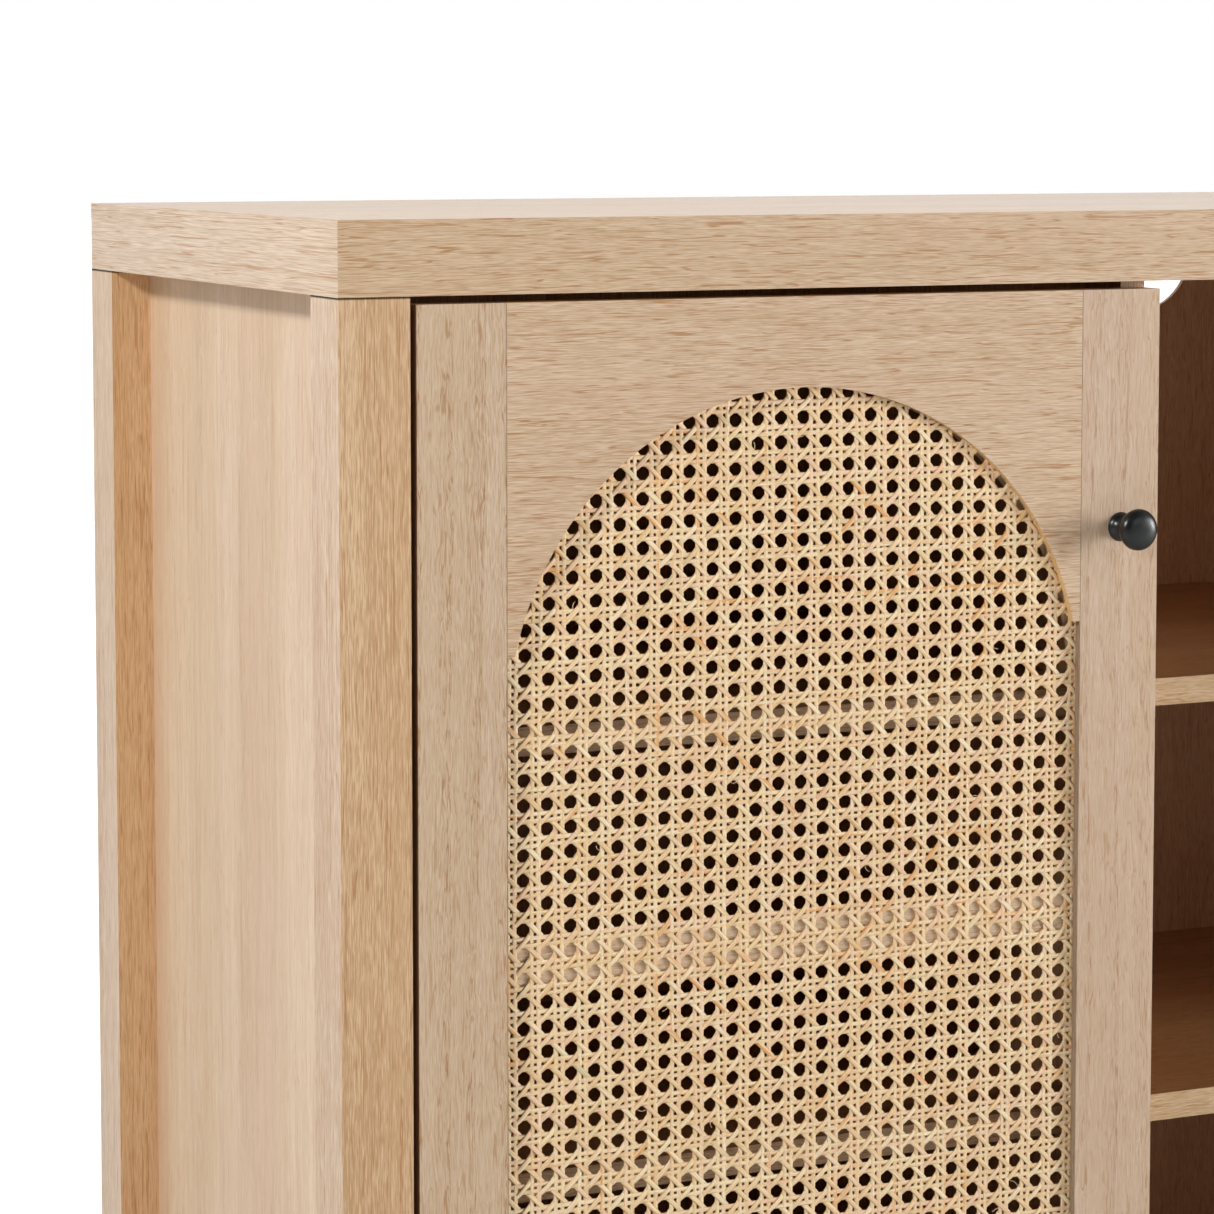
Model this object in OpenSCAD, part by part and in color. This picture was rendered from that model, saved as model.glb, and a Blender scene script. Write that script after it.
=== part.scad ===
// Two-door shoe cabinet with an open middle bay.
// Oak boards and square corner posts, arched door windows filled with woven cane,
// concealed cup hinges and small round pulls.
//
// Frame: X runs along the width, -Y is the front, +Z is up.
// The origin is at floor level, in the middle of the width and half-way between
// the rear face of the posts and the tips of the pulls.

/* [Cabinet] */
// Overall width
cab_w = 1410; // [1320:10:1560]
// Overall depth
cab_d = 400; // [380:5:460]
// Overall height
cab_h = 800; // [780:5:860]
// Thickness of the top panel
top_t = 38; // [30:1:42]
// Side of each square corner post
post_w = 38; // [36:1:42]
// Height of the bottom panel's underside above the floor
leg_clear = 62; // [50:1:80]

/* [Boards] */
// Thickness of the sides, dividers, shelves and bottom
board_t = 15; // [15:1:18]
// Thickness of the back panels
back_t = 12; // [12:1:15]
// Distance of the back panels' rear face in front of the posts' rear face
back_inset = 9; // [6:1:14]
// Left face of the left divider, from the left side of the cabinet
div_x = 460; // [440:5:480]
// Set-back of the dividers' front edges behind the posts
div_setback = 18; // [17:0.5:24]
// Set-back of the shelves inside the closed bays
closed_setback = 29; // [28:1:36]
// Height of the upper shelves' top face below the cabinet's top face
shelf_drop_1 = 257.5; // [240:1:270]
// Height of the lower shelves' top face below the cabinet's top face
shelf_drop_2 = 490; // [475:1:505]
// How much lower the shelves behind the doors sit than the middle ones
closed_drop = 3.5; // [0:0.5:10]

/* [Doors] */
// Thickness of the door frame
door_t = 15.5; // [15:0.5:17]
// Gap between the post and the door's hinge edge
door_gap = 3.3; // [3:0.1:4]
// Gap between the top panel and the door
door_top_gap = 4.2; // [3:0.1:5]
// Gap between the bottom panel and the door
door_low_gap = 3; // [2.5:0.1:4]
// Width of the stiles
stile_w = 48.5; // [44:0.5:56]
// Height of the frame above the crown of the arch
crown_h = 47; // [40:1:60]
// Height of the arched rail at its ends
rail_end_h = 178; // [165:1:190]
// Height of the bottom rail
low_rail_h = 47; // [40:1:70]
// Height of the batten behind the cane
batten_h = 28; // [20:1:36]
// Height of the batten's centre below the cabinet's top face
batten_drop = 381; // [340:1:420]
// Depth of the cane's front face behind the door's front face
cane_in = 4; // [3.5:0.1:5]
// Thickness of the cane panel
cane_t = 2.2; // [1.8:0.1:2.6]
// Width of the rebate that holds the cane
rebate_w = 8; // [7:0.5:10]

/* [Hardware] */
// Diameter of the pull's head
knob_d = 22.4; // [20:0.2:28]
// Projection of the pull in front of the door
knob_out = 23; // [20:0.5:28]
// Height of the pull below the cabinet's top face
knob_drop = 170.3; // [150:1:200]
// Distance of the hinges from the door's ends
hinge_in = 90; // [80:5:120]
// Radius of the cable notch in the middle back panel
notch_r = 38; // [20:1:60]
// Thickness left round the notch, where the panel is thinned from behind
notch_lip = 3; // [2:0.5:12]
// Thickness of the floor glides
glide_t = 3; // [2:0.5:6]

/* [Hidden] */
W = cab_w;
D = cab_d;
H = cab_h;
EPS = 0.5;
CLR = 0.1;

y_front = (D - knob_out) / 2;            // the front plane is at y = -y_front
z_top = H - top_t;                       // underside of the top panel
z_floor = leg_clear + board_t;           // upper face of the bottom panel
back_d1 = D - back_inset;                // rear face of the back panels
back_d0 = back_d1 - back_t;              // front face of the back panels
side_x0 = post_w - board_t;              // outer face of the side panel
div_x1 = div_x + board_t;
shelf_z = [H - shelf_drop_1, H - shelf_drop_2];
closed_z = [for (z = shelf_z) z - closed_drop];

door_x0 = post_w + door_gap;
door_x1 = div_x1 - 1.7;
door_w = door_x1 - door_x0;
door_z1 = z_top - door_top_gap;
door_z0 = z_floor + door_low_gap;
win_x0 = door_x0 + stile_w;
win_x1 = door_x1 - stile_w;
win_r = (win_x1 - win_x0) / 2;
win_cx = (win_x0 + win_x1) / 2;
win_cz = door_z1 - crown_h - win_r;      // centre of the arch
rail_z0 = door_z1 - rail_end_h;          // lower end of the arched rail
win_z0 = door_z0 + low_rail_h;
batten_z = H - batten_drop;

hinge_z = [door_z0 + hinge_in, door_z1 - hinge_in];
piv_x = post_w + 14;                     // hinge axis
piv_d = 7.75;
cup_x = door_x0 + 21.5;
knob_x = door_x1 - 23.3;
knob_z = H - knob_drop;

// Fastener positions
cam_d = [92, 308];                       // depth of the cam fittings
cam_in = 34;                             // from the board's edge to the cam
dowel_z = [150, 410, 680];
back_z = [150, 420, 690];
pin_d = [70, 340];
leg_d = [22, D - 22 - post_w - 20];
magnet_z = H - 100;

oak = [0.80, 0.66, 0.50];
oak_pale = [0.86, 0.76, 0.64];
oak_dark = [0.62, 0.47, 0.33];
straw = [0.88, 0.78, 0.58];
steel = [0.74, 0.75, 0.77];
zinc = [0.66, 0.66, 0.68];
black = [0.07, 0.07, 0.08];
plastic = [0.30, 0.26, 0.23];
beech = [0.85, 0.72, 0.55];

// ---------- placement helpers ----------
// x from the cabinet's left side, d from its front plane, z from the floor
module at(x, d, z) translate([x - W / 2, d - y_front, z]) children();

module board(x0, x1, d0, d1, z0, z1)
    at(x0, d0, z0) cube([x1 - x0, d1 - d0, z1 - z0]);

module flip(right) {
    if (right) mirror([1, 0, 0]) children();
    else children();
}

module both() {
    children();
    mirror([1, 0, 0]) children();
}

module rod_x(x0, x1, d, z, r)
    at(x0, d, z) rotate([0, 90, 0]) cylinder(h = x1 - x0, r = r, $fn = 32);

module rod_d(d0, d1, x, z, r)
    at(x, d0, z) rotate([-90, 0, 0]) cylinder(h = d1 - d0, r = r, $fn = 48);

module rod_z(z0, z1, x, d, r)
    at(x, d, z0) cylinder(h = z1 - z0, r = r, $fn = 32);

// ---------- fastener bores, each made once for the left half ----------
// dowels between a post and the side panel: half in each
module side_dowel_bores()
    for (z = dowel_z, d = [post_w - 15, D - post_w - 15])
        rod_d(d - CLR, d + 30 + CLR, side_x0 + board_t / 2, z, 4 + CLR);

// dowels between the posts and the top panel
module post_dowel_bores()
    for (d = [post_w / 2, D - post_w / 2])
        rod_z(z_top - 15 - CLR, z_top + 15 + CLR, post_w / 2, d, 4 + CLR);

// dowels between the centre legs and the bottom panel
module leg_dowel_bores()
    for (d = leg_d)
        rod_z(leg_clear - 20 - CLR, leg_clear + 10 + CLR, W / 2, d + post_w / 2, 4 + CLR);

// dowels at the ends of the back panels
module back_dowel_bores()
    for (z = back_z, x = [post_w - 7, div_x - 17, div_x1 - 7])
        rod_x(x - CLR, x + 24 + CLR, back_d0 + back_t / 2, z, 3 + CLR);

// bores for the shelf pins
module pin_bores()
    for (d = pin_d, i = [0, 1]) {
        zc = closed_z[i] - board_t - 2.5;
        zm = shelf_z[i] - board_t - 2.5;
        rod_x(post_w - 8 - CLR, post_w + EPS, d, zc, 2.5 + CLR);
        rod_x(div_x - EPS, div_x + 6.6, d, zc, 2.5 + CLR);
        rod_x(div_x1 - 6.6, div_x1 + EPS, d, zm, 2.5 + CLR);
    }

// bores for the cams and their bolts: top panel to side panel and divider
module upright_cam_bores()
    for (x = [post_w - 12.6, div_x - EPS], d = cam_d)
        rod_x(x, x + 12.6 + EPS, d, z_top - cam_in, 7.5 + CLR);

module upright_bolt_bores()
    for (x = [side_x0 + board_t / 2, div_x + board_t / 2], d = cam_d)
        rod_z(z_top - cam_in, z_top + EPS, x, d, 4);

module top_bolt_bores()
    for (x = [side_x0 + board_t / 2, div_x + board_t / 2], d = cam_d)
        rod_z(z_top - EPS, z_top + 11 + CLR, x, d, 2.5 + CLR);

// the same fittings between the side panel and the bottom panel
module low_cam_bores()
    for (d = cam_d)
        rod_z(leg_clear - EPS, leg_clear + 12.6, post_w + cam_in, d, 7.5 + CLR);

module low_bolt_bores()
    for (d = cam_d)
        rod_x(post_w - EPS, post_w + cam_in, d, leg_clear + board_t / 2, 4);

module side_bolt_bores()
    for (d = cam_d)
        rod_x(post_w - 11 - CLR, post_w + EPS, d, leg_clear + board_t / 2, 2.5 + CLR);

// screws from the bottom panel up into the dividers
module divider_screw_bores(head)
    for (d = cam_d) {
        rod_z(leg_clear - EPS, z_floor + 36 + CLR, div_x + board_t / 2, d, 2.5 + CLR);
        if (head)
            rod_z(leg_clear - EPS, leg_clear + 2 + CLR, div_x + board_t / 2, d, 5 + CLR);
    }

// screws of the hinge plates
module plate_screw_bores()
    for (z = hinge_z, s = [-16, 16])
        rod_x(post_w - 11 - CLR, post_w + EPS, 58, z + s, 1.75 + CLR);

// nail of each floor glide
module glide_bores()
    for (d = [post_w / 2, D - post_w / 2])
        rod_z(glide_t - EPS, glide_t + 12 + CLR, post_w / 2, d, 2 + CLR);

// ---------- carcass ----------
module top_panel() color(oak_pale) difference() {
    board(0, W, 0, D, z_top, H);
    both() post_dowel_bores();
    both() top_bolt_bores();
}

module bottom_panel() color(oak) difference() {
    board(post_w, W - post_w, 0, back_d1, leg_clear, z_floor);
    both() low_cam_bores();
    both() low_bolt_bores();
    both() divider_screw_bores(true);
    leg_dowel_bores();
}

module post_front_left() color(oak) difference() {
    board(0, post_w, 0, post_w, glide_t, z_top);
    side_dowel_bores();
    post_dowel_bores();
    glide_bores();
}

module post_rear_left() color(oak) difference() {
    board(0, post_w, D - post_w, D, glide_t, z_top);
    side_dowel_bores();
    post_dowel_bores();
    back_dowel_bores();
    glide_bores();
}

module post_front_right() mirror([1, 0, 0]) post_front_left();
module post_rear_right() mirror([1, 0, 0]) post_rear_left();

module side_panel_left() color(oak_pale) difference() {
    board(side_x0, post_w, post_w, D - post_w, leg_clear, z_top);
    side_dowel_bores();
    upright_cam_bores();
    upright_bolt_bores();
    side_bolt_bores();
    pin_bores();
    plate_screw_bores();
}

module side_panel_right() mirror([1, 0, 0]) side_panel_left();

module divider_left() color(oak_dark) difference() {
    board(div_x, div_x1, div_setback, back_d1, z_floor, z_top);
    upright_cam_bores();
    upright_bolt_bores();
    pin_bores();
    back_dowel_bores();
    divider_screw_bores(false);
}

module divider_right() mirror([1, 0, 0]) divider_left();

module back_panel_left() color(oak_dark) difference() {
    board(post_w, div_x, back_d0, back_d1, z_floor, z_top);
    back_dowel_bores();
}

module back_panel_right() mirror([1, 0, 0]) back_panel_left();

// the notch is open at the panel's upper edge, and the panel is thinned behind it
module back_panel_centre() color(oak_dark) difference() {
    board(div_x1, W - div_x1, back_d0, back_d1, z_floor, z_top);
    both() back_dowel_bores();
    rod_d(back_d0 - EPS, back_d1 + EPS, W / 2, z_top, notch_r);
    if (notch_lip < back_t) rod_d(back_d0 + notch_lip, back_d1 + EPS, W / 2, z_top, notch_r + 14);
}

module closed_shelf(i)
    board(post_w + 0.5, div_x - 0.5, closed_setback, back_d0 - 0.5, closed_z[i] - board_t, closed_z[i]);

module shelf_centre(i)
    board(div_x1 + 0.5, W - div_x1 - 0.5, div_setback, back_d0 - 0.5, shelf_z[i] - board_t, shelf_z[i]);

module shelf_centre_upper() color(oak_pale) shelf_centre(0);
module shelf_centre_lower() color(oak_pale) shelf_centre(1);
module shelf_left_upper() color(oak) closed_shelf(0);
module shelf_left_lower() color(oak) closed_shelf(1);
module shelf_right_upper() color(oak) mirror([1, 0, 0]) closed_shelf(0);
module shelf_right_lower() color(oak) mirror([1, 0, 0]) closed_shelf(1);

module centre_legs() color(oak) difference() {
    for (d = leg_d)
        board(W / 2 - post_w / 2, W / 2 + post_w / 2, d, d + post_w, glide_t, leg_clear);
    leg_dowel_bores();
    for (d = leg_d)
        rod_z(glide_t - EPS, glide_t + 12 + CLR, W / 2, d + post_w / 2, 2 + CLR);
}

// ---------- small fittings ----------
module glide(x, d) {
    rod_z(0, glide_t, x, d, 15);
    rod_z(glide_t - EPS, glide_t + 12, x, d, 2);
}

module floor_glides() color(plastic) {
    both() for (d = [post_w / 2, D - post_w / 2]) glide(post_w / 2, d);
    for (d = leg_d) glide(W / 2, d + post_w / 2);
}

// four pins under every shelf
module shelf_pins() color(steel) both()
    for (d = pin_d, i = [0, 1]) {
        zc = closed_z[i] - board_t - 2.5;
        zm = shelf_z[i] - board_t - 2.5;
        rod_x(post_w - 8, post_w + 8, d, zc, 2.5);
        rod_x(div_x - 8, div_x + 6.5, d, zc, 2.5);
        rod_x(div_x1 - 6.5, div_x1 + 8, d, zm, 2.5);
    }

// a disc with a cross slot in its face and a socket for the bolt's head
module cam() difference() {
    cylinder(h = 12.5, r = 7.5, $fn = 48);
    translate([0, 0, 11.2]) {
        translate([-5, -0.6, 0]) cube([10, 1.2, 2]);
        translate([-0.6, -5, 0]) cube([1.2, 10, 2]);
    }
    translate([-3.4, 0, 12.5 - board_t / 2]) rotate([0, 90, 0]) cylinder(h = 12, r = 3.7, $fn = 32);
}

module cam_locks() color(zinc) both() for (d = cam_d) {
    // the bolt's socket points up
    at(post_w - 12.5, d, z_top - cam_in) rotate([0, 90, 0]) rotate([0, 0, 180]) cam();
    at(div_x + 12.5, d, z_top - cam_in) rotate([0, -90, 0]) cam();
    // the bolt's socket points at the side panel
    at(post_w + cam_in, d, leg_clear + 12.5) rotate([180, 0, 0]) rotate([0, 0, 180]) cam();
}

// threaded end, shank and head
module cam_bolt() {
    translate([0, 0, -1]) cylinder(h = 12, r = 2.5, $fn = 32);
    translate([0, 0, -27]) cylinder(h = 27, r = 3, $fn = 32);
    translate([0, 0, -31]) cylinder(h = 5, r = 1.9, $fn = 32);
    translate([0, 0, -33]) cylinder(h = 2.5, r = 3, $fn = 32);
}

module cam_bolts() color(zinc) both() for (d = cam_d) {
    at(side_x0 + board_t / 2, d, z_top) cam_bolt();
    at(div_x + board_t / 2, d, z_top) cam_bolt();
    at(post_w, d, leg_clear + board_t / 2) rotate([0, -90, 0]) cam_bolt();
}

module wood_dowels_8mm() color(beech) {
    both() {
        for (z = dowel_z, d = [post_w - 15, D - post_w - 15])
            rod_d(d, d + 30, side_x0 + board_t / 2, z, 4);
        for (d = [post_w / 2, D - post_w / 2])
            rod_z(z_top - 15, z_top + 15, post_w / 2, d, 4);
    }
    for (d = leg_d)
        rod_z(leg_clear - 20, leg_clear + 10, W / 2, d + post_w / 2, 4);
}

module wood_dowels_6mm() color(beech) both()
    for (z = back_z, x = [post_w - 7, div_x - 17, div_x1 - 7])
        rod_x(x, x + 24, back_d0 + back_t / 2, z, 3);

module divider_screws() color(zinc) both() for (d = cam_d) difference() {
    union() {
        rod_z(leg_clear + 1, z_floor + 36, div_x + board_t / 2, d, 2.5);
        rod_z(leg_clear, leg_clear + 2, div_x + board_t / 2, d, 5);
    }
    at(div_x + board_t / 2, d, leg_clear - EPS) cylinder(h = 2, r = 1.8, $fn = 6);
}

// ---------- hinges ----------
// the plate stands on the side panel; the arm rests on its raised block
module hinge_plates() color(steel) both() for (z = hinge_z) difference() {
    union() {
        board(post_w, post_w + 2.5, 49, 67, z - 25, z + 25);
        board(post_w + 2, post_w + 8, 42, 84, z - 7, z + 7);
    }
    for (s = [-16, 16]) rod_x(post_w - EPS, post_w + 3, 58, z + s, 2);
}

module hinge_plate_screws() color(zinc) both() for (z = hinge_z, s = [-16, 16]) difference() {
    union() {
        rod_x(post_w - 11, post_w + 3, 58, z + s, 1.75);
        rod_x(post_w + 2.5, post_w + 4.3, 58, z + s, 3.5);
    }
    board(post_w + 3.3, post_w + 5, 58 - 2.4, 58 + 2.4, z + s - 0.4, z + s + 0.4);
    board(post_w + 3.3, post_w + 5, 58 - 0.4, 58 + 0.4, z + s - 2.4, z + s + 2.4);
}

// a channel on the plate, cranked round the door's edge to the pin
module hinge_arm(z) difference() {
    union() {
        board(post_w + 8, post_w + 10.4, 28.6, 88, z - 9, z + 9);
        for (s = [-1, 1])
            board(post_w + 3.4, post_w + 8.5, 34, 88, z + s * 8.3 - 0.7, z + s * 8.3 + 0.7);
        board(post_w + 8, piv_x + 14, 28.6, 31, z - 6, z + 6);
        board(piv_x + 11.6, piv_x + 14, piv_d - 1.2, 31, z - 6, z + 6);
        board(piv_x, piv_x + 14, piv_d - 1.2, piv_d + 1.2, z - 6, z + 6);
        rod_z(z - 6, z + 6, piv_x, piv_d, 2.4);
    }
    rod_z(z - 7, z + 7, piv_x, piv_d, 1.55);
    // clamp screw's slot and the adjusting screw's hole
    board(post_w + 7, post_w + 11, 62, 72, z - 2.2, z + 2.2);
    rod_x(post_w + 7, post_w + 11, 45, z, 2.2);
}

module hinge_arms() color(steel) both() for (z = hinge_z) hinge_arm(z);

module hinge_cup(z) difference() {
    union() {
        rod_d(cane_in, door_t + 1.2, cup_x, z, 17.5);
        rod_d(door_t, door_t + 1.2, cup_x, z, 19.5);
        board(cup_x - 7, cup_x + 7, door_t, door_t + 1.2, z - 31, z + 31);
    }
    rod_d(cane_in + 1.2, door_t + 2, cup_x, z, 16.3);
    rod_z(z - 14, z + 14, piv_x, piv_d, 1.5 + 0.02);
    for (s = [-25, 25]) rod_d(door_t - EPS, door_t + 2, cup_x, z + s, 2);
}

module hinge_cups() for (z = hinge_z) hinge_cup(z);

module hinge_pins() for (z = hinge_z) rod_z(z - 12.2, z + 12.2, piv_x, piv_d, 1.5);

module cup_screws() for (z = hinge_z, s = [-25, 25]) difference() {
    union() {
        rod_d(door_t - 10, door_t + 1.5, cup_x, z + s, 1.75);
        rod_d(door_t + 1.2, door_t + 2.8, cup_x, z + s, 3.4);
    }
    board(cup_x - 2.3, cup_x + 2.3, door_t + 2, door_t + 3, z + s - 0.4, z + s + 0.4);
    board(cup_x - 0.4, cup_x + 0.4, door_t + 2, door_t + 3, z + s - 2.3, z + s + 2.3);
}

// ---------- doors ----------
// outline of the arched window grown by m, in the door's own plane
module window_2d(m) {
    translate([win_x0 - m, win_z0 - m]) square([win_x1 - win_x0 + 2 * m, rail_z0 - win_z0 + m]);
    translate([win_cx, win_cz]) circle(r = win_r + m, $fn = 160);
}

// a plate with that outline from depth d0 to d1
module window_plate(m, d0, d1)
    translate([-W / 2, d1 - y_front, 0]) rotate([90, 0, 0])
        linear_extrude(height = d1 - d0) window_2d(m);

module rebate() window_plate(rebate_w, cane_in, door_t + EPS);

module hinge_stile() difference() {
    board(door_x0, win_x0, 0, door_t, door_z0, door_z1);
    rebate();
    for (z = hinge_z) {
        rod_d(cane_in - CLR, door_t + EPS, cup_x, z, 17.5 + CLR);
        for (s = [-25, 25]) rod_d(door_t - 10 - CLR, door_t + EPS, cup_x, z + s, 1.75 + CLR);
    }
}

module pull_stile() difference() {
    board(win_x1, door_x1, 0, door_t, door_z0, door_z1);
    rebate();
    rod_d(-EPS, door_t + EPS, knob_x, knob_z, 2.25);
}

module arched_rail() difference() {
    board(win_x0, win_x1, 0, door_t, rail_z0, door_z1);
    rod_d(-EPS, door_t + EPS, win_cx, win_cz, win_r);
    rod_d(cane_in, door_t + EPS, win_cx, win_cz, win_r + rebate_w);
}

module bottom_rail() difference() {
    board(win_x0, win_x1, 0, door_t, door_z0, win_z0);
    board(win_x0 - EPS, win_x1 + EPS, cane_in, door_t + EPS, win_z0 - rebate_w, win_z0 + EPS);
}

bead_d0 = cane_in + cane_t + 0.1;
bead_d1 = door_t - 2.5;

module batten()
    board(win_x0 - rebate_w + 0.5, win_x1 + rebate_w - 0.5, bead_d0, bead_d1,
          batten_z - batten_h / 2, batten_z + batten_h / 2);

module cane() window_plate(rebate_w - 1, cane_in, cane_in + cane_t);

// bent strip that holds the cane round the arch
module arch_bead() intersection() {
    difference() {
        rod_d(bead_d0, bead_d1, win_cx, win_cz, win_r + rebate_w - 0.5);
        rod_d(bead_d0 - EPS, bead_d1 + EPS, win_cx, win_cz, win_r + 0.5);
    }
    board(door_x0, door_x1, 0, door_t, win_cz, door_z1);
}

// straight strips below the arch, broken at the batten
module side_beads() {
    for (x = [win_x0 - rebate_w + 0.5, win_x1 + 0.5]) {
        board(x, x + rebate_w - 1, bead_d0, bead_d1, win_z0 + 0.5, batten_z - batten_h / 2 - 0.2);
        board(x, x + rebate_w - 1, bead_d0, bead_d1, batten_z + batten_h / 2 + 0.2, win_cz - 0.2);
    }
    board(win_x0 - rebate_w + 0.5, win_x1 + rebate_w - 0.5, bead_d0, bead_d1,
          win_z0 - rebate_w + 0.5, win_z0 - 0.5);
}

// turned mushroom pull with a blind threaded hole in its foot
module pull() at(knob_x, 0, knob_z) rotate([90, 0, 0]) difference() {
    rotate_extrude($fn = 96) polygon([
        [0, 0], [7.5, 0], [7.5, 1.4], [6.6, 2.4], [5.2, 4.2], [4.6, 6.6], [4.8, 9.2],
        [6, 12], [8.2, 14.2], [knob_d / 2 - 0.5, 15.6], [knob_d / 2, 16.8],
        [knob_d / 2 - 0.1, 18.2], [knob_d / 2 - 1.2, 20], [knob_d / 2 - 3.6, knob_out - 1.6],
        [knob_d / 2 - 7, knob_out - 0.5], [0, knob_out]
    ]);
    translate([0, 0, -EPS]) cylinder(h = 10 + EPS, r = 2.05, $fn = 32);
}

module pull_screw() difference() {
    union() {
        rod_d(-9, door_t + 0.5, knob_x, knob_z, 2);
        rod_d(door_t, door_t + 2.2, knob_x, knob_z, 4.2);
    }
    board(knob_x - 2.8, knob_x + 2.8, door_t + 1.2, door_t + 3, knob_z - 0.5, knob_z + 0.5);
    board(knob_x - 0.5, knob_x + 0.5, door_t + 1.2, door_t + 3, knob_z - 2.8, knob_z + 2.8);
}

// magnet case on the divider, steel plate on the door
module magnetic_catches() color(plastic) both() difference() {
    board(div_x - 14, div_x, div_setback - 0.6, div_setback + 13, magnet_z - 23, magnet_z + 23);
    for (s = [-1, 1])
        board(div_x - 15, div_x - 2.5, div_setback + 5, div_setback + 14,
              magnet_z + s * 17 - 4.5, magnet_z + s * 17 + 4.5);
}

module strike_plate() difference() {
    board(div_x - 13, div_x - 1, door_t, door_t + 1.4, magnet_z - 19, magnet_z + 19);
    rod_d(door_t - EPS, door_t + 2, div_x - 7, magnet_z, 1.8);
}

module left_door_hinge_stile() color(oak) hinge_stile();
module left_door_pull_stile() color(oak) pull_stile();
module left_door_arched_rail() color(oak) arched_rail();
module left_door_bottom_rail() color(oak) bottom_rail();
module left_door_batten() color(oak_pale) batten();
module left_door_cane() color(straw) cane();
module left_door_arch_bead() color(oak_pale) arch_bead();
module left_door_side_beads() color(oak_pale) side_beads();
module left_door_pull() color(black) pull();
module left_door_pull_screw() color(zinc) pull_screw();
module left_door_hinge_cups() color(steel) hinge_cups();
module left_door_hinge_pins() color(steel) hinge_pins();
module left_door_cup_screws() color(zinc) cup_screws();
module left_door_strike_plate() color(steel) strike_plate();

module right_door_hinge_stile() color(oak) flip(true) hinge_stile();
module right_door_pull_stile() color(oak) flip(true) pull_stile();
module right_door_arched_rail() color(oak) flip(true) arched_rail();
module right_door_bottom_rail() color(oak) flip(true) bottom_rail();
module right_door_batten() color(oak_pale) flip(true) batten();
module right_door_cane() color(straw) flip(true) cane();
module right_door_arch_bead() color(oak_pale) flip(true) arch_bead();
module right_door_side_beads() color(oak_pale) flip(true) side_beads();
module right_door_pull() color(black) flip(true) pull();
module right_door_pull_screw() color(zinc) flip(true) pull_screw();
module right_door_hinge_cups() color(steel) flip(true) hinge_cups();
module right_door_hinge_pins() color(steel) flip(true) hinge_pins();
module right_door_cup_screws() color(zinc) flip(true) cup_screws();
module right_door_strike_plate() color(steel) flip(true) strike_plate();

top_panel();
bottom_panel();
post_front_left();
post_front_right();
post_rear_left();
post_rear_right();
side_panel_left();
side_panel_right();
divider_left();
divider_right();
back_panel_left();
back_panel_centre();
back_panel_right();
shelf_centre_upper();
shelf_centre_lower();
shelf_left_upper();
shelf_left_lower();
shelf_right_upper();
shelf_right_lower();
centre_legs();
floor_glides();
shelf_pins();
cam_locks();
cam_bolts();
wood_dowels_8mm();
wood_dowels_6mm();
divider_screws();
hinge_plates();
hinge_plate_screws();
hinge_arms();
magnetic_catches();
left_door_hinge_stile();
left_door_pull_stile();
left_door_arched_rail();
left_door_bottom_rail();
left_door_batten();
left_door_cane();
left_door_arch_bead();
left_door_side_beads();
left_door_pull();
left_door_pull_screw();
left_door_hinge_cups();
left_door_hinge_pins();
left_door_cup_screws();
left_door_strike_plate();
right_door_hinge_stile();
right_door_pull_stile();
right_door_arched_rail();
right_door_bottom_rail();
right_door_batten();
right_door_cane();
right_door_arch_bead();
right_door_side_beads();
right_door_pull();
right_door_pull_screw();
right_door_hinge_cups();
right_door_hinge_pins();
right_door_cup_screws();
right_door_strike_plate();
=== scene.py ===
import math
import random
import zlib

import bpy
import numpy as np
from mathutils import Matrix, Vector


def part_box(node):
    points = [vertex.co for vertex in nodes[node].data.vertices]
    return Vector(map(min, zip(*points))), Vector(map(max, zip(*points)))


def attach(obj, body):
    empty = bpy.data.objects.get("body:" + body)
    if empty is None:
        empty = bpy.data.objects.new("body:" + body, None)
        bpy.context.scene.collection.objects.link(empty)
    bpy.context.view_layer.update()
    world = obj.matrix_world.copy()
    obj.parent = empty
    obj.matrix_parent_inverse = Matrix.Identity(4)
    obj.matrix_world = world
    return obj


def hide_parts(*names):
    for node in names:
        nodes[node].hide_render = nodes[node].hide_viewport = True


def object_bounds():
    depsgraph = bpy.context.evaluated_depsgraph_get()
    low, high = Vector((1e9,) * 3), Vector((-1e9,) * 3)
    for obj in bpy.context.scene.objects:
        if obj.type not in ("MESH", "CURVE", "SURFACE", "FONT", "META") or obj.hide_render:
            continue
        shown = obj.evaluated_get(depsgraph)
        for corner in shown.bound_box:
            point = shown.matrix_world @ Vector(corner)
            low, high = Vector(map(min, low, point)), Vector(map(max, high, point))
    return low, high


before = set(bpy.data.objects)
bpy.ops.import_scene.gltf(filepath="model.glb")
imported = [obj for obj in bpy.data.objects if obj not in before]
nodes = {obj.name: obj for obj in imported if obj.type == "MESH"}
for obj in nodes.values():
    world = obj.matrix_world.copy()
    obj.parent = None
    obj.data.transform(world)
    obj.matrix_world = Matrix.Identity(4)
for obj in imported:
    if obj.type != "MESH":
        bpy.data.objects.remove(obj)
cad_lo, cad_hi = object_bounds()
scene = bpy.context.scene


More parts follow.
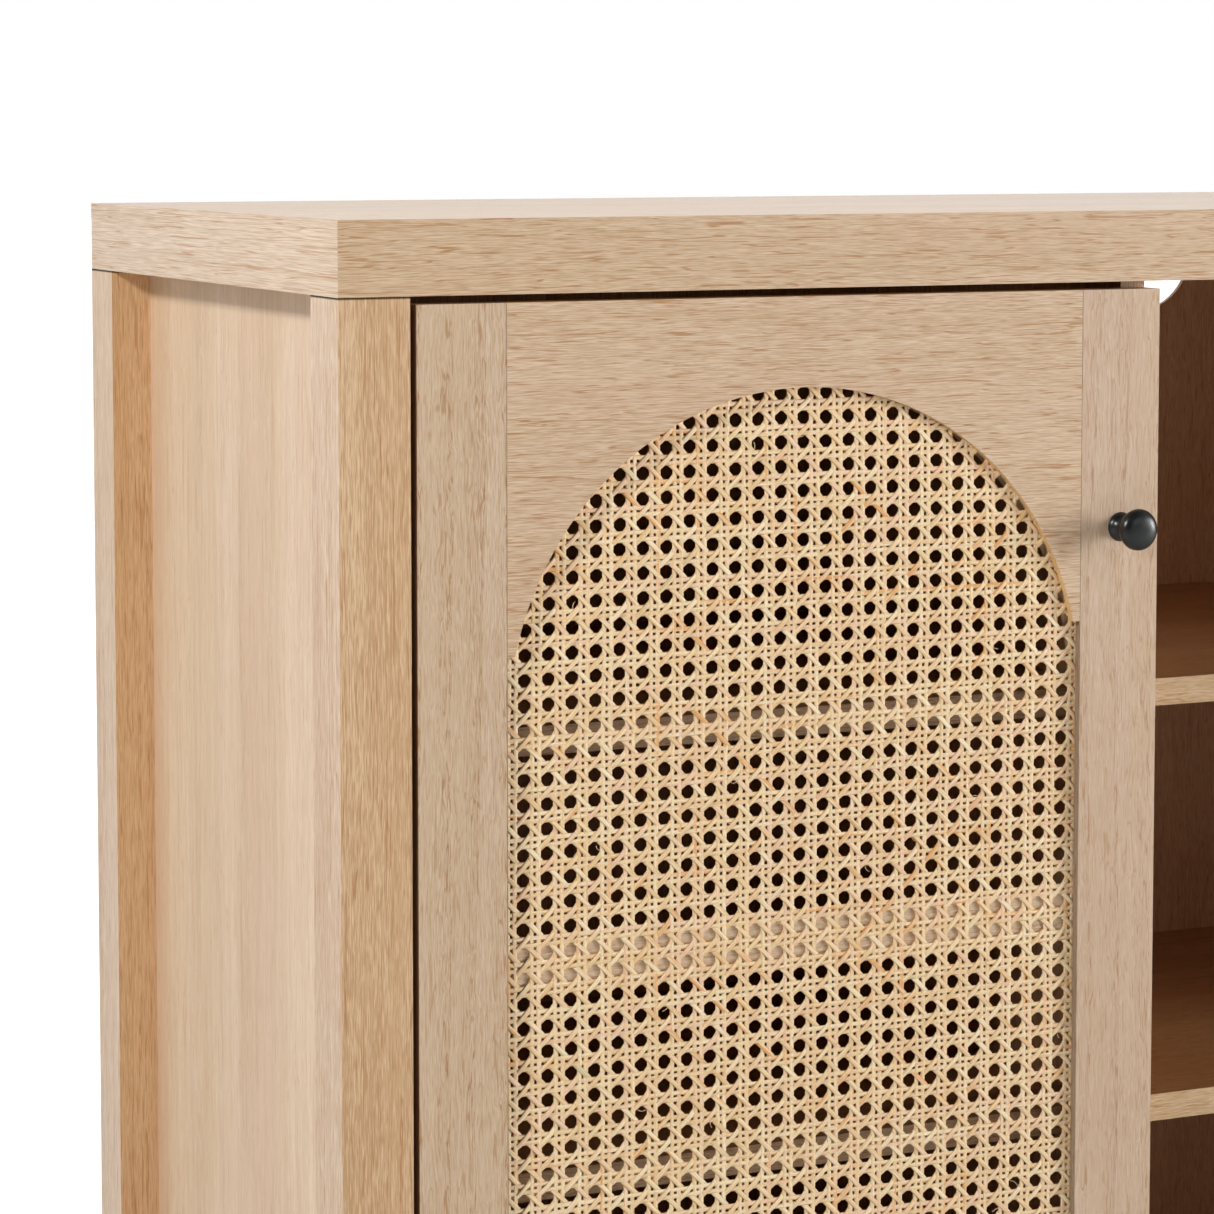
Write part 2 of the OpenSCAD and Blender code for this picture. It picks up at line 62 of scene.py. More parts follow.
# ---------------------------------------------------------------- node helper
class Tree:
    """A short way to write a shader: every method adds one node and returns its output."""

    def __init__(self, name, world=None):
        if world is None:
            self.mat = bpy.data.materials.new(name)
            self.mat.use_nodes = True
            self.nt = self.mat.node_tree
        else:
            world.use_nodes = True
            self.nt = world.node_tree
        self.nt.nodes.clear()
        self.col = 0

    def node(self, kind, **props):
        n = self.nt.nodes.new(kind)
        self.col += 1
        n.location = (180 * (self.col % 12), -220 * (self.col // 12))
        for k, v in props.items():
            setattr(n, k, v)
        return n

    def link(self, value, socket):
        if isinstance(value, bpy.types.NodeSocket):
            self.nt.links.new(value, socket)
        elif value is not None:
            socket.default_value = value

    def math(self, op, a, b=None, c=None, clamp=False):
        n = self.node("ShaderNodeMath", operation=op, use_clamp=clamp)
        for v, s in zip((a, b, c), n.inputs):
            self.link(v, s)
        return n.outputs[0]

    def vmath(self, op, a, b=None, scale=None):
        n = self.node("ShaderNodeVectorMath", operation=op)
        self.link(a, n.inputs[0])
        if b is not None:
            self.link(b, n.inputs[1])
        if scale is not None:
            self.link(scale, n.inputs["Scale"])
        return n.outputs["Value"] if op in ("LENGTH", "DOT_PRODUCT", "DISTANCE") else n.outputs[0]

    def noise(self, vec, scale=(1, 1, 1), detail=2.0, rough=0.5, distort=0.0, colour=False):
        v = self.vmath("MULTIPLY", vec, tuple(scale))
        n = self.node("ShaderNodeTexNoise", noise_dimensions="3D")
        self.link(v, n.inputs["Vector"])
        n.inputs["Scale"].default_value = 1.0
        n.inputs["Detail"].default_value = detail
        n.inputs["Roughness"].default_value = rough
        n.inputs["Distortion"].default_value = distort
        return n.outputs["Color" if colour else "Fac"]

    def span(self, v, a, b, lo=0.0, hi=1.0, smooth=True):
        n = self.node("ShaderNodeMapRange", interpolation_type="SMOOTHSTEP" if smooth else "LINEAR")
        if not smooth:
            n.clamp = True
        self.link(v, n.inputs["Value"])
        n.inputs["From Min"].default_value = a
        n.inputs["From Max"].default_value = b
        n.inputs["To Min"].default_value = lo
        n.inputs["To Max"].default_value = hi
        return n.outputs["Result"]

    def mix(self, f, a, b):
        n = self.node("ShaderNodeMix", data_type="RGBA")
        self.link(f, n.inputs[0])
        self.link(a if isinstance(a, bpy.types.NodeSocket) else (*a, 1.0), n.inputs[6])
        self.link(b if isinstance(b, bpy.types.NodeSocket) else (*b, 1.0), n.inputs[7])
        return n.outputs[2]

    def vmix(self, f, a, b):
        n = self.node("ShaderNodeMix", data_type="VECTOR")
        self.link(f, n.inputs[0])
        self.link(a, n.inputs[4])
        self.link(b, n.inputs[5])
        return n.outputs[1]

    def tint(self, colour, amount):
        """colour times amount, a number socket."""
        n = self.node("ShaderNodeVectorMath", operation="SCALE")
        self.link(colour, n.inputs[0])
        self.link(amount, n.inputs["Scale"])
        return n.outputs[0]

    def surface(self, colour, rough, height=None, depth=0.0002, strength=0.5, **fixed):
        p = self.node("ShaderNodeBsdfPrincipled")
        self.link(colour if isinstance(colour, bpy.types.NodeSocket) else (*colour, 1.0), p.inputs["Base Color"])
        self.link(rough, p.inputs["Roughness"])
        for k, v in fixed.items():
            p.inputs[k.replace("_", " ")].default_value = v
        if height is not None:
            b = self.node("ShaderNodeBump")
            b.inputs["Strength"].default_value = strength
            b.inputs["Distance"].default_value = depth
            self.link(height, b.inputs["Height"])
            self.nt.links.new(b.outputs[0], p.inputs["Normal"])
        out = self.node("ShaderNodeOutputMaterial")
        self.nt.links.new(p.outputs[0], out.inputs[0])
        return self.mat

    def here(self):
        return self.node("ShaderNodeTexCoord").outputs["Object"]


def lin(r, g, b):
    """An sRGB colour, 0 to 255, as linear numbers."""
    return tuple((c / 255 / 12.92) if c / 255 <= 0.04045 else ((c / 255 + 0.055) / 1.055) ** 2.4 for c in (r, g, b))


def seed_of(name):
    rng = random.Random(zlib.crc32(name.encode()))
    return tuple(rng.uniform(-3, 3) for _ in range(3))


# ---------------------------------------------------------------- wood
OAK = lin(207, 176, 142)
ORDER = {"x": ("Y", "Z", "X"), "y": ("X", "Z", "Y"), "z": ("X", "Y", "Z")}


def oak(name, axis, base=OAK, contrast=1.0, figure=0.0, ends=None, rosy=0.5, pore=1.0, pale=1.0,
        ring=0.0075, tilt=0.05, fleck=0.0, rough=0.5, pore_w=2100, pore_l=100, streak=85, crisp=1.0, faces=(), wave=1.0, seam_shadows=(),
        lines=0.6, line_w=640, line_l=16, line_t=0.040, painted_bounce=()):
    """Matt oak. The grain runs along axis; on faces that point along X it runs along `ends` where that is given.
    figure is how much of the flat-sawn arches shows; faces lists (axis, colour, roughness) for faces that point that way."""
    t = Tree(name)
    at = t.here()
    s = t.node("ShaderNodeSeparateXYZ")
    t.link(at, s.inputs[0])

    def grain_space(a):
        c = t.node("ShaderNodeCombineXYZ")
        for k, src in enumerate(ORDER[a]):
            t.link(s.outputs[src], c.inputs[k])
        return c.outputs[0]

    g = grain_space(axis)
    if ends:
        nrm = t.node("ShaderNodeTexCoord").outputs["Normal"]
        sn = t.node("ShaderNodeSeparateXYZ")
        t.link(nrm, sn.inputs[0])
        side = t.math("GREATER_THAN", t.math("ABSOLUTE", sn.outputs["X"]), 0.6)
        g = t.vmix(side, g, t.vmath("MULTIPLY", grain_space(ends), (1.0, 1.0, 0.42)))
    g = t.vmath("ADD", g, seed_of(name))

    # the fibres wander a little sideways
    sway = t.vmath("SUBTRACT", t.noise(g, (9, 9, 2.2), 2, 0.5, colour=True), (0.5, 0.5, 0.5))
    sway = t.vmath("MULTIPLY", sway, (0.010, 0.010, 0))
    ripple = t.vmath("SUBTRACT", t.noise(g, (40, 40, 34), 2, 0.5, colour=True), (0.5, 0.5, 0.5))
    ripple = t.vmath("MULTIPLY", ripple, (0.0034 * wave, 0.0034 * wave, 0))
    w = t.vmath("ADD", t.vmath("ADD", g, sway), ripple)

    broad = t.noise(w, (26, 26, 1.3), 3, 0.55)
    mid = t.noise(w, (230, 230, 9.0), 2, 0.5)
    fine = t.noise(w, (2500, 2500, streak), 1.5, 0.6)
    dash = t.noise(w, (pore_w, pore_w, pore_l), 1.0, 0.5)

    tone = t.math("MULTIPLY_ADD", t.math("SUBTRACT", broad, 0.5), 1.1 * contrast, 0.5)
    tone = t.math("MULTIPLY_ADD", t.math("SUBTRACT", mid, 0.5), 0.6 * contrast, tone)
    tone = t.math("MULTIPLY_ADD", t.math("SUBTRACT", fine, 0.5), 2.9 * contrast * crisp, tone)

    crowd = None
    if figure > 0:
        # growth rings cut nearly flat: arches along the board
        v = t.vmath("SUBTRACT", g, tuple(a + b for a, b in zip(seed_of(name), (0.0, -0.012, 0.37))))
        v = t.vmath("MULTIPLY", v, (1.0, 1.0, tilt))
        v = t.vmath("ADD", v, t.vmath("MULTIPLY", sway, (1.6, 1.6, 0)))
        r = t.vmath("LENGTH", v)
        r = t.math("MULTIPLY_ADD", t.noise(g, (30, 30, 3.0), 2, 0.5), 0.012, r)
        ph = t.math("FRACT", t.math("MULTIPLY", r, 1.0 / ring))
        early = t.math("POWER", t.math("SUBTRACT", 1.0, ph), 2.2)
        crowd = t.math("MULTIPLY_ADD", early, figure, 1.0 - 0.6 * figure)
        tone = t.math("MULTIPLY_ADD", t.math("SUBTRACT", early, 0.3), -0.16 * figure * contrast, tone)

    dark = tuple(c * k for c, k in zip(base, (0.84, 0.75, 0.64)))
    light = tuple(min(1.0, c * k) for c, k in zip(base, (1.16, 1.21, 1.28)))
    ramp = t.node("ShaderNodeValToRGB")
    ramp.color_ramp.interpolation = "EASE"
    e = ramp.color_ramp.elements
    e[0].position, e[0].color = 0.12, (*dark, 1)
    e[1].position, e[1].color = 0.88, (*light, 1)
    m = e.new(0.5)
    m.color = (*base, 1)
    t.link(tone, ramp.inputs[0])
    colour = ramp.outputs[0]

    # rosy and golden bands a few centimetres wide
    band = t.noise(w, (34, 34, 0.9), 2, 0.5)
    pink = tuple(c * k for c, k in zip(base, (1.02, 0.965, 0.985)))
    gold = tuple(c * k for c, k in zip(base, (1.0, 0.97, 0.86)))
    colour = t.mix(t.span(band, 0.52, 0.66, 0, 0.55 * rosy), colour, pink)
    colour = t.mix(t.span(band, 0.48, 0.34, 0, 0.45 * rosy), colour, gold)

    hole = t.span(dash, 0.575, 0.645)
    if crowd is not None:
        hole = t.math("MULTIPLY", hole, crowd)
    pit = tuple(c * k for c, k in zip(base, (0.68, 0.44, 0.22)))
    colour = t.mix(t.math("MULTIPLY", hole, 0.72 * pore, clamp=True), colour, pit)
    # long open pores: thin lines where a stretched noise crosses its middle value, broken here and there
    if lines:
        cross = t.math("ABSOLUTE", t.math("SUBTRACT", t.noise(w, (line_w, line_w, line_l), 0.6, 0.5), 0.5))
        gaps = t.span(t.noise(w, (line_w * 0.45, line_w * 0.45, line_l * 3.4), 1.0, 0.5), 0.36, 0.54)
        line = t.math("MULTIPLY", t.span(cross, line_t * 0.25, line_t, 1.0, 0.0), gaps)
        if crowd is not None:
            line = t.math("MULTIPLY", line, t.math("MULTIPLY_ADD", crowd, 0.5, 0.5))
        colour = t.mix(t.math("MULTIPLY", line, lines, clamp=True), colour, pit)
    # pale threads between the pores
    thread = t.span(t.noise(w, (760, 760, 60), 1, 0.5), 0.60, 0.74, 0, 0.30 * pale)
    colour = t.mix(thread, colour, tuple(min(1.0, c * k) for c, k in zip(base, (1.22, 1.30, 1.42))))
    if fleck:
        f = t.span(t.noise(w, (70, 420, 26), 1, 0.5), 0.62, 0.72, 0, fleck)
        colour = t.mix(f, colour, light)

    polish = rough
    # most face colours given here are painted light and shade: paler copies for sides that catch more light and sheen,
    # darker copies for faces inside the compartments
    if faces:
        facing = t.node("ShaderNodeSeparateXYZ")
        t.link(t.node("ShaderNodeTexCoord").outputs["Normal"], facing.inputs[0])
        for way, other, shine in faces:
            part = facing.outputs[way[-1]]
            if way[0] == "-":
                part = t.math("MULTIPLY", part, -1.0)
            elif way[0] != "+":
                part = t.math("ABSOLUTE", part)
            mask = t.math("LESS_THAN" if way[0] == "!" else "GREATER_THAN", part, 0.6)
            colour = t.vmath("MULTIPLY", colour, t.mix(mask, (1.0, 1.0, 1.0), tuple(a / b for a, b in zip(other, base))))
            polish = t.math("MULTIPLY_ADD", mask, shine - rough, polish)
    # painted shade and bounce light: towards one edge the board's colour turns yellower and a little darker, where a
    # neighbouring post shades it and throws warm light on it: axis, where it starts, where it ends, the tint
    for way, start, end, tone_there in painted_bounce:
        amount = t.span(s.outputs[way], start, end)
        colour = t.vmath("MULTIPLY", colour, t.mix(amount, (1.0, 1.0, 1.0), tone_there))
    # painted shade: a fine dark line, with its highlight taken away, where two pieces butt and the crevice between them
    # lies in shade: axis, place, half-width, how dark
    shine = None
    for way, place, half, deep in seam_shadows:
        coord = s.outputs[way[-1]]
        if way[0] == "|":
            coord = t.math("ABSOLUTE", coord)
        near = t.math("ABSOLUTE", t.math("SUBTRACT", coord, place))
        shade = t.span(near, half * 0.5, half * 1.3, deep, 1.0)
        colour = t.tint(colour, shade)
        gleam = t.span(near, half * 0.5, half * 1.3, 0.0, 0.5)
        shine = gleam if shine is None else t.math("MINIMUM", shine, gleam)
    r = t.math("MULTIPLY_ADD", t.math("SUBTRACT", fine, 0.5), 0.25, polish)
    h = t.math("SUBTRACT", t.math("MULTIPLY", fine, 0.6), hole)
    mat = t.surface(colour, r, height=h, depth=0.00008, strength=0.4)
    if shine is not None:
        shader = next(n for n in t.nt.nodes if n.type == "BSDF_PRINCIPLED")
        t.link(shine, shader.inputs["Specular IOR Level"])
    return mat


# ---------------------------------------------------------------- cane, metals, plastics
def cane_material(name, tone=1.0):
    """Split cane. The strands' meshes carry `lay`: distance along the strand, place across it, and the strand's number."""
    t = Tree(name)
    a = t.node("ShaderNodeAttribute", attribute_type="GEOMETRY", attribute_name="lay")
    s = t.node("ShaderNodeSeparateXYZ")
    t.link(a.outputs["Vector"], s.inputs[0])
    u, v, k = s.outputs

    def along(su, sv, shift, detail=2.0, rough=0.5):
        c = t.node("ShaderNodeCombineXYZ")
        t.link(t.math("MULTIPLY", u, su), c.inputs[0])
        t.link(t.math("MULTIPLY", v, sv), c.inputs[1])
        t.link(t.math("MULTIPLY_ADD", k, 7.31, shift), c.inputs[2])
        n = t.node("ShaderNodeTexNoise", noise_dimensions="3D")
        t.link(c.outputs[0], n.inputs["Vector"])
        n.inputs["Scale"].default_value = 1.0
        n.inputs["Detail"].default_value = detail
        n.inputs["Roughness"].default_value = rough
        return n.outputs["Fac"]

    slow = along(9, 0.3, 0.0, 2)
    patch = along(38, 0.8, 31.0, 2)
    thread = along(45, 9.0, 57.0, 2, 0.6)
    spots = along(420, 3.0, 83.0, 1)
    strand = along(2.2, 0.1, 211.0, 1)       # nearly one number for a whole strand
    shade = lambda r, g, b: tuple(min(1.0, c * tone) for c in lin(r, g, b))
    colour = t.mix(t.span(slow, 0.40, 0.60, 0, 1), shade(240, 204, 148), shade(249, 219, 170))
    colour = t.mix(t.span(strand, 0.52, 0.66, 0, 0.75), colour, shade(246, 206, 174))
    colour = t.mix(t.span(strand, 0.47, 0.34, 0, 0.75), colour, shade(255, 236, 196))
    colour = t.mix(t.span(patch, 0.52, 0.66, 0, 0.75), colour, shade(244, 200, 160))
    colour = t.mix(t.span(patch, 0.47, 0.33, 0, 0.75), colour, shade(255, 236, 198))
    amber = along(14, 0.3, 131.0, 1)
    colour = t.mix(t.span(amber, 0.60, 0.74, 0, 0.85), colour, shade(236, 164, 88))
    green = along(11, 0.3, 173.0, 1)
    colour = t.mix(t.span(green, 0.66, 0.78, 0, 0.6), colour, shade(206, 192, 138))
    colour = t.mix(t.span(thread, 0.57, 0.74, 0, 0.50), colour, shade(196, 142, 90))
    colour = t.mix(t.span(thread, 0.43, 0.28, 0, 0.55), colour, shade(255, 248, 228))
    colour = t.mix(t.span(spots, 0.68, 0.79, 0, 0.60), colour, shade(150, 96, 56))
    # painted shade: the strand's edges and its back are darkened towards orange-brown, where neighbouring strands shade
    # it
    edge_shade = t.span(t.math("ABSOLUTE", v), 0.55, 1.0, 0, 0.30)
    colour = t.mix(edge_shade, colour, tuple(c * tone for c in lin(205, 152, 92)))
    r = t.math("MULTIPLY_ADD", t.math("SUBTRACT", thread, 0.5), 0.4, 0.42)
    return t.surface(colour, r, height=thread, depth=0.00012, strength=0.5)


def metal(name, colour, rough, scale=900.0, along="z", metallic=1.0):
    t = Tree(name)
    g = t.vmath("ADD", t.here(), seed_of(name))
    stretch = {"x": (scale * 0.05, scale, scale), "y": (scale, scale * 0.05, scale), "z": (scale, scale, scale * 0.05)}[along]
    brush = t.noise(g, stretch, 3, 0.6)
    cloud = t.noise(g, (60, 60, 60), 3, 0.55)
    c = t.mix(t.span(cloud, 0.35, 0.65), tuple(x * 0.86 for x in colour), colour)
    c = t.mix(t.span(brush, 0.55, 0.8, 0, 0.35), c, tuple(x * 0.72 for x in colour))
    r = t.math("MULTIPLY_ADD", t.math("SUBTRACT", brush, 0.5), 0.35, rough)
    return t.surface(c, r, height=brush, depth=0.00004, strength=0.3, Metallic=metallic)


def lacquer(name):
    """Satin black paint on turned metal, with the faint peel of a sprayed coat."""
    t = Tree(name)
    g = t.vmath("ADD", t.here(), seed_of(name))
    peel = t.noise(g, (1500, 1500, 1500), 2, 0.5)
    cloud = t.noise(g, (130, 130, 130), 3, 0.5)
    c = t.mix(t.span(cloud, 0.3, 0.7), (0.0082, 0.0090, 0.0092), (0.0126, 0.0136, 0.0138))
    r = t.math("MULTIPLY_ADD", t.math("SUBTRACT", cloud, 0.5), 0.12, 0.31)
    return t.surface(c, r, height=peel, depth=0.00003, strength=0.35)


def plastic(name, colour, rough):
    t = Tree(name)
    g = t.vmath("ADD", t.here(), seed_of(name))
    spark = t.noise(g, (1800, 1800, 1800), 2, 0.6)
    cloud = t.noise(g, (90, 90, 90), 3, 0.5)
    c = t.mix(t.span(cloud, 0.3, 0.7), tuple(x * 0.88 for x in colour), tuple(x * 1.1 for x in colour))
    r = t.math("MULTIPLY_ADD", t.math("SUBTRACT", spark, 0.5), 0.25, rough)
    return t.surface(c, r, height=spark, depth=0.00005, strength=0.5)


# ---------------------------------------------------------------- dressing the carried-over boards and fittings
SIDE = lin(212, 185, 158)
FRONT = lin(206, 174, 138)
# painted shade: darker, more saturated copies of the oak for faces inside the compartments (back panels' inner faces,
# shelf and bottom faces), where shade falls
SHADED_INNER = lin(181, 136, 96)
SHADED_SHELF = lin(173, 128, 84)
# painted light: a paler copy of the oak for the posts' faces that point along X, where the cabinet's sides catch more
# light and sheen
LIT_SIDE_X = ("|X", lin(213, 188, 163), 0.42)
REVEAL = ("!Y", lin(222, 184, 128), 0.5)
Z_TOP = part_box("top_panel")[0].z
RAIL_X = abs(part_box("left_door_arched_rail")[0].x)
RAIL_X2 = abs(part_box("left_door_arched_rail")[1].x)
# painted shadow: a dark line on the posts just under the top, for the shaded gap under the top panel
SHADOW_UNDER_TOP = (("Z", Z_TOP, 0.0012, 0.12),)
# painted shade: fine dark lines where the door's rails butt the stiles, for the shaded crevice of the joint
BUTT_SHADOW = (("|X", RAIL_X, 0.0005, 0.52), ("|X", RAIL_X2, 0.0005, 0.52))
BOARDS = {
    # painted light on the top panel: paler end faces, where more light and sheen fall, and a slightly darker upper face
    "top_panel": dict(axis="x", base=lin(211, 182, 149), ends="y", contrast=0.55, crisp=1.4, figure=0.25, rosy=0.5, pore=0.35, lines=0.8, line_l=16, wave=0.35,
                      faces=(("|X", lin(214, 191, 167), 0.42), ("+Z", lin(207, 178, 146), 0.40))),
    "bottom_panel": dict(axis="x", base=FRONT, contrast=0.8, faces=(("+Z", SHADED_SHELF, 0.5),)),
    "post_front_left": dict(axis="z", base=lin(214, 179, 139), contrast=1.0, crisp=1.3, rosy=0.8, pore=0.4, pore_l=90, wave=0.3, lines=0.8, line_w=760, line_l=8, line_t=0.036, faces=(LIT_SIDE_X,), seam_shadows=SHADOW_UNDER_TOP),
    "post_rear_left": dict(axis="z", base=lin(215, 176, 132), contrast=0.8, rosy=0.7, pore=0.6, pore_l=60, wave=0.3, lines=0.6, line_w=760, line_l=6, line_t=0.036, faces=(LIT_SIDE_X,), seam_shadows=SHADOW_UNDER_TOP),
    # painted shade and bounce light: the side panel turns yellower and a little darker towards its rear edge, next to
    # the rear post
    "side_panel_left": dict(axis="z", base=lin(215, 189, 161), painted_bounce=(("Y", 0.07, 0.170, (1.0, 0.985, 0.93)),), contrast=0.9, crisp=0.5, rosy=0.9, pore=0.3, pale=0.8, pore_l=50, streak=40, wave=0.8, lines=0.35, line_w=600, line_l=5),
    # painted shade: darker faces on the divider where they face into the compartments
    "divider_left": dict(axis="z", base=FRONT, contrast=0.7, faces=(("|X", lin(188, 146, 105), 0.5),)),
    "back_panel_left": dict(axis="z", base=lin(200, 166, 128), contrast=0.7, faces=(("-Y", SHADED_INNER, 0.5),)),
    "back_panel_centre": dict(axis="z", base=lin(200, 166, 128), contrast=0.6, pore=0.6, faces=(("-Y", SHADED_INNER, 0.5),)),
    "shelf_centre_upper": dict(axis="x", base=lin(209, 176, 134), contrast=0.8, pore=0.6, faces=(("|Z", SHADED_SHELF, 0.5),)),
    "shelf_centre_lower": dict(axis="x", base=lin(209, 176, 134), contrast=0.8, pore=0.6, faces=(("|Z", SHADED_SHELF, 0.5),)),
    "shelf_left_upper": dict(axis="x", base=FRONT, contrast=0.8, faces=(("|Z", SHADED_SHELF, 0.5),)),
    "shelf_left_lower": dict(axis="x", base=FRONT, contrast=0.8, faces=(("|Z", SHADED_SHELF, 0.5),)),
    "centre_legs": dict(axis="z", base=FRONT, contrast=0.9),
    "left_door_hinge_stile": dict(axis="z", base=lin(207, 180, 151), contrast=0.60, crisp=1.2, figure=1.5, tilt=0.13, ring=0.015, rosy=0.7, pore=0.8, pore_l=110, lines=0.7, line_w=480, line_l=22, faces=(("|X", lin(128, 94, 66), 0.55),), seam_shadows=BUTT_SHADOW),
    "left_door_pull_stile": dict(axis="z", base=lin(207, 179, 152), contrast=0.62, crisp=0.8, figure=1.2, tilt=0.13, ring=0.015, rosy=0.7, pore=0.5, pore_l=110, lines=0.5, line_w=480, line_l=22, seam_shadows=BUTT_SHADOW),
    "left_door_arched_rail": dict(axis="x", base=lin(212, 183, 152), contrast=0.62, crisp=1.45, figure=0.4, tilt=0.09, ring=0.012, rosy=0.5, pore=0.35, lines=0.85, line_l=16, wave=0.4, faces=(REVEAL,)),
    "left_door_bottom_rail": dict(axis="x", base=lin(212, 183, 152), contrast=0.62, crisp=1.45, figure=0.4, tilt=0.09, ring=0.012, rosy=0.5, pore=0.35, lines=0.85, line_l=16, wave=0.4),
    "left_door_batten": dict(axis="x", base=lin(226, 198, 164), contrast=0.6, pore=0.5),
    "left_door_arch_bead": dict(axis="x", base=lin(222, 190, 152), contrast=0.6, pore=0.5),
    "left_door_side_beads": dict(axis="z", base=lin(222, 190, 152), contrast=0.6, pore=0.5),
    "wood_dowels_8mm": dict(axis="z", base=lin(226, 194, 150), contrast=0.7, pore=0.3),
    "wood_dowels_6mm": dict(axis="x", base=lin(226, 194, 150), contrast=0.7, pore=0.3),
}
for k in list(BOARDS):
    if "left" in k:
        BOARDS[k.replace("left", "right")] = BOARDS[k]

NICKEL = metal("nickel_plate", (0.72, 0.71, 0.69), 0.28)
ZINC = metal("zinc_plate", (0.62, 0.63, 0.65), 0.38)
PLASTIC_BROWN = plastic("catch_plastic", lin(120, 84, 58), 0.5)
PLASTIC_DARK = plastic("glide_plastic", (0.02, 0.018, 0.016), 0.55)
BLACK = lacquer("satin_black")

BEVEL = {"top_panel": 0.0008, "post": 0.0007, "side_panel": 0.0005, "door": 0.00042, "shelf": 0.0005}


def dress(o, material):
    if not o.material_slots:
        o.data.materials.append(material)
    for s in o.material_slots:
        s.material = material
    for p in o.data.polygons:
        p.material_index = 0


def soften(o, width, segments=2, angle=38):
    """Joins the flat triangles into whole faces, then rounds the arrises."""
    d = o.modifiers.new("flat", "DECIMATE")
    d.decimate_type = "DISSOLVE"
    d.angle_limit = math.radians(0.3)
    b = o.modifiers.new("arris", "BEVEL")
    b.width = width
    b.segments = segments
    b.limit_method = "ANGLE"
    b.angle_limit = math.radians(angle)
    b.use_clamp_overlap = True
    b.miter_outer = "MITER_ARC"
    b.harden_normals = False


for name, o in nodes.items():
    if name in BOARDS:
        dress(o, oak(name, **BOARDS[name]))
        width = next((w for k, w in BEVEL.items() if k in name), 0.0004)
        if not name.startswith("wood_dowels"):
            soften(o, width)
    elif name.endswith("_cane") or name.endswith("_door_pull"):
        continue
    elif name in ("cam_locks", "cam_bolts", "divider_screws", "hinge_plate_screws") or "screw" in name:
        dress(o, ZINC)
    elif name == "magnetic_catches":
        dress(o, PLASTIC_BROWN)
        soften(o, 0.0006)
    elif name == "floor_glides":
        dress(o, PLASTIC_DARK)
    else:
        dress(o, NICKEL)
        if "plate" in name or "arms" in name:
            soften(o, 0.0002)


# ---------------------------------------------------------------- mesh helpers
def mesh_object(name, co, quads, material, smooth=True, lay=None):
    me = bpy.data.meshes.new(name)
    co = np.asarray(co, np.float32)
    quads = np.asarray(quads, np.int32)
    me.vertices.add(len(co))
    me.vertices.foreach_set("co", co.ravel())
    k = quads.shape[1]
    me.loops.add(quads.size)
    me.loops.foreach_set("vertex_index", quads.ravel())
    me.polygons.add(len(quads))
    me.polygons.foreach_set("loop_start", np.arange(0, quads.size, k, dtype=np.int32))
    me.polygons.foreach_set("loop_total", np.full(len(quads), k, np.int32))
    me.update(calc_edges=True)
    if lay is not None:
        a = me.attributes.new("lay", "FLOAT_VECTOR", "POINT")
        a.data.foreach_set("vector", np.asarray(lay, np.float32).ravel())
    me.polygons.foreach_set("use_smooth", np.full(len(quads), smooth, bool))
    me.materials.append(material)
    me.validate()
    o = bpy.data.objects.new(name, me)
    scene.collection.objects.link(o)
    return o


# ---------------------------------------------------------------- woven cane
PX, PZ = 0.013172, 0.012734            # pitch of the holes
GAP_V, GAP_H = 0.00382, 0.00343        # between the two strands of a pair
W_V, W_H, W_D = 0.00254, 0.00249, 0.00262
THICK = 0.00044
RING = [(-0.5, 0.0), (-0.28, 0.5), (0.28, 0.5), (0.5, 0.0), (0.30, -0.5), (-0.30, -0.5)]


def window_of(side):
    """The door's arched opening, from the carried-over boards: half-width, centre, foot and arch centre, in metres."""
    rail_lo, rail_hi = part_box(side + "_door_arched_rail")
    low_lo, low_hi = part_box(side + "_door_bottom_rail")
    cane_lo, cane_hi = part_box(side + "_door_cane")
    half = (rail_hi.x - rail_lo.x) / 2
    cx = (rail_hi.x + rail_lo.x) / 2
    grown = (cane_hi.x - cane_lo.x) / 2 - half
    foot = cane_lo.z + grown
    arch = cane_hi.z - grown - half
    return half, cx, foot, arch, cane_lo.y, cane_hi.y, grown


